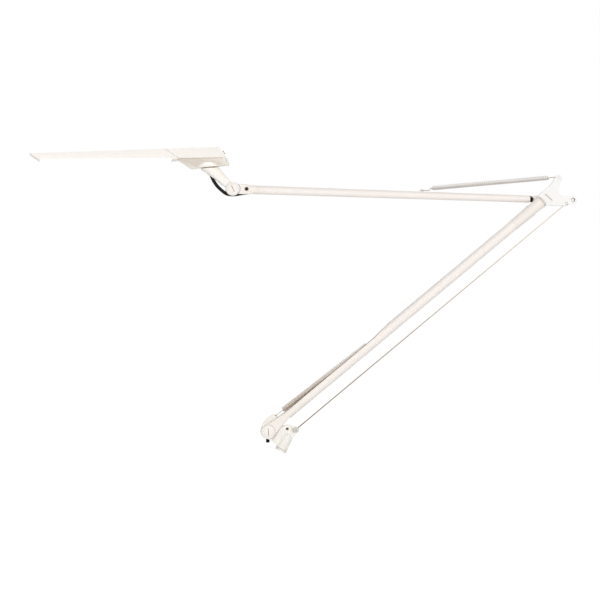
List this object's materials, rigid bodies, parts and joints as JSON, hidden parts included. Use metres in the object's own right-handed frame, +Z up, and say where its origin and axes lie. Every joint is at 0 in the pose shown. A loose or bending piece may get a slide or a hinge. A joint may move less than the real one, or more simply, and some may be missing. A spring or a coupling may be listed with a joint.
{
  "type": "desk lamp",
  "caption": "Spring-balanced arm desk lamp with a slim light bar, a parallel-rod linkage, exposed springs and a plug-in socket foot.",
  "frame": {"origin": "centre of the socket's mouth, at the foot of the base bracket", "axes": "+Z up, +X from the light head towards the elbow, -Y towards the viewer of the side view; the arms move in planes of constant Y"},
  "size_m": [0.7145, 0.0478, 0.3971],
  "materials": {
    "bush": "moulded satin",
    "casting_white": "satin powder coat",
    "painted_tube": "satin powder coat",
    "plate_white": "smooth moulded white",
    "cap_plastic": "smooth moulded white",
    "steel": "turned",
    "spring_steel": "drawn wire",
    "fibre": "fibre",
    "black_rubber": "matt",
    "black_lead": "satin sheath",
    "black_screw": "black oxide",
    "bar_white": "satin powder coat",
    "cover_cream": "fine-grained moulding",
    "housing_beige": "fine-grained moulding",
    "diffuser": "milky, lit",
    "board": "solder mask",
    "led_chip": "phosphor",
    "button_grey": "satin"
  },
  "bodies": {
    "socket": {"socket_bush": "bush"},
    "bracket": {"base_bracket": "casting_white", "lower_pivot_bolt": "steel", "lower_pivot_cap": "cap_plastic", "lower_pivot_nut": "cap_plastic", "lower_pivot_washers": "fibre", "rod_lower_pin": "steel", "cable_gland": "black_rubber"},
    "lower_arm": {"lower_foot": "casting_white", "lower_tube": "painted_tube", "foot_rivets": "painted_tube", "lower_spring_pin": "steel", "lower_lead": "black_lead", "elbow_sleeve": "painted_tube", "elbow_pin": "steel", "lower_spring": "spring_steel", "elbow_lead_low": "black_lead"},
    "rod": {"parallel_rod": "spring_steel"},
    "elbow": {"elbow_plate": "plate_white", "rod_upper_pin": "steel", "spring_post": "steel", "upper_pivot_bolt": "cap_plastic", "elbow_washer": "fibre", "elbow_lead_high": "black_lead"},
    "upper_arm": {"upper_root": "painted_tube", "upper_tube": "painted_tube", "upper_lead": "black_lead", "upper_end": "casting_white", "end_screw": "black_screw", "spring_saddle": "casting_white", "upper_spring": "spring_steel"},
    "neck": {"neck_arm": "casting_white", "neck_pivot_bolt": "steel", "neck_pivot_cap": "cap_plastic", "neck_pivot_nut": "cap_plastic", "neck_washers": "fibre", "neck_lead": "black_lead", "swivel_washer": "fibre"},
    "head": {"swivel_stud": "steel", "light_bar": "bar_white", "tip_cap": "bar_white", "led_board": "board", "leds": "led_chip", "diffuser": "diffuser", "rear_cover": "cover_cream", "rear_housing": "housing_beige", "end_plate": "cover_cream", "control_board": "board", "head_screws": "steel"},
    "button": {"power_button": "button_grey"}
  },
  "joints": [
    {"name": "base_swivel", "type": "hinge", "parent": "socket", "child": "bracket", "pos_m": [0, 0, 0], "axis": [0.4384, 0, 0.8988], "range_deg": [-170, 170]},
    {"name": "lower_arm_tilt", "type": "hinge", "parent": "bracket", "child": "lower_arm", "pos_m": [-0.0163, 0, 0.0252], "axis": [0, 1, 0], "range_deg": [-28, 14], "deforming": ["lower_spring"]},
    {"name": "rod_swing", "type": "hinge", "parent": "bracket", "child": "rod", "pos_m": [0.02, 0, 0.0275], "axis": [0, 1, 0], "range_deg": [-28, 14]},
    {"name": "elbow_level", "type": "hinge", "parent": "lower_arm", "child": "elbow", "pos_m": [0.34068, 0, 0.32052], "axis": [0, 1, 0], "range_deg": [-14, 28], "deforming": ["elbow_lead_low"]},
    {"name": "upper_arm_tilt", "type": "hinge", "parent": "elbow", "child": "upper_arm", "pos_m": [0.35708, 0.0135, 0.32862], "axis": [0, 1, 0], "range_deg": [-25, 50], "deforming": ["upper_spring", "elbow_lead_high"]},
    {"name": "neck_tilt", "type": "hinge", "parent": "upper_arm", "child": "neck", "pos_m": [-0.06145, 0.0135, 0.34068], "axis": [0, 1, 0], "range_deg": [-60, 35], "deforming": ["neck_lead"]},
    {"name": "head_swivel", "type": "hinge", "parent": "neck", "child": "head", "pos_m": [-0.09334, 0.0135, 0.36874], "axis": [-0.0906, 0, 0.9959], "range_deg": [-90, 90]},
    {"name": "button_press", "type": "slide", "parent": "head", "child": "button", "axis": [-0.7419, 0, -0.6705], "range_m": [0, 0.0008], "stiffness_N_per_m": 300}
  ],
  "couplings": [
    {"joint": "rod_swing", "follows": "lower_arm_tilt", "ratio": 1},
    {"joint": "elbow_level", "follows": "lower_arm_tilt", "ratio": -1}
  ]
}
